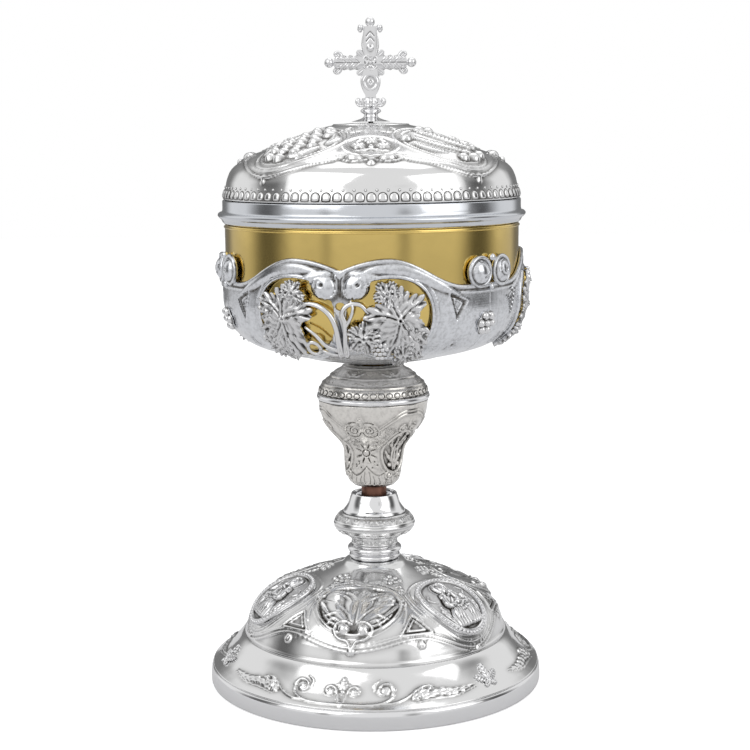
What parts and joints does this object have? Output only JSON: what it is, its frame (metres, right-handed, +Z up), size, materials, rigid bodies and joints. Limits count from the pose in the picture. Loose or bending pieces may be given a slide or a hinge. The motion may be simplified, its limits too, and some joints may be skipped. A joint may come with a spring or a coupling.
{
  "type": "ciborium",
  "caption": "Covered ciborium: gilt cup in a pierced vine calyx, domed lid with a cross finial, pear-shaped knop, and a round stepped foot with oval medallions.",
  "frame": {"origin": "middle of the foot's resting face", "axes": "+Z up along the stem towards the cross, -Y is the front, +X is to the right seen from the front"},
  "size_m": [0.1392, 0.1392, 0.2743],
  "materials": {
    "silver": "polished and chased silver, darkened in the recesses",
    "gilt": "polished pale gilding on silver",
    "copper": "dull red-brown copper tube",
    "brass": "turned brass",
    "steel": "drawn rod"
  },
  "bodies": {
    "stand": {"blossom_1": "silver", "blossom_2": "silver", "blossom_3": "silver", "calyx": "silver", "copper_sleeve": "copper", "cup": "gilt", "cup_boss": "brass", "cup_lip_wire": "silver", "foot_edge_ring": "silver", "foot_shell": "silver", "foot_sprig_1": "silver", "foot_sprig_2": "silver", "foot_sprig_3": "silver", "knop_body": "silver", "knop_cap": "silver", "knop_ring": "silver", "medallion_1": "silver", "medallion_2": "silver", "medallion_3": "silver", "stem_base_ring": "silver", "stem_bell": "silver", "stem_disc": "silver", "stem_neck_band": "silver", "tie_rod": "steel", "vine_spray_1": "silver", "vine_spray_2": "silver", "vine_spray_3": "silver", "vine_spray_4": "silver", "vine_spray_5": "silver", "vine_spray_6": "silver"},
    "washer": {"foot_washer": "brass"},
    "nut": {"foot_nut": "brass"},
    "lid": {"lid_dome": "silver", "lid_rim_moulding": "silver", "lid_bezel": "gilt", "finial_mount": "silver", "finial_leaf_cup": "silver", "cross": "silver", "cross_stud": "steel", "cross_washer": "brass", "cross_nut": "brass"}
  },
  "joints": [
    {"name": "lid_lift", "type": "slide", "parent": "stand", "child": "lid", "axis": [0, 0, 1], "range_m": [0, 0.1]},
    {"name": "washer_drop", "type": "slide", "parent": "stand", "child": "washer", "axis": [0, 0, 1], "range_m": [-0.008, 0]},
    {"name": "nut_turn", "type": "hinge", "parent": "washer", "child": "nut", "pos_m": [0, 0, 0.0453], "axis": [0, 0, 1], "range_deg": [-2881, 0]}
  ],
  "couplings": [
    {"joint": "nut_turn", "follows": "washer_drop", "rad_per_m": 6283.2}
  ]
}
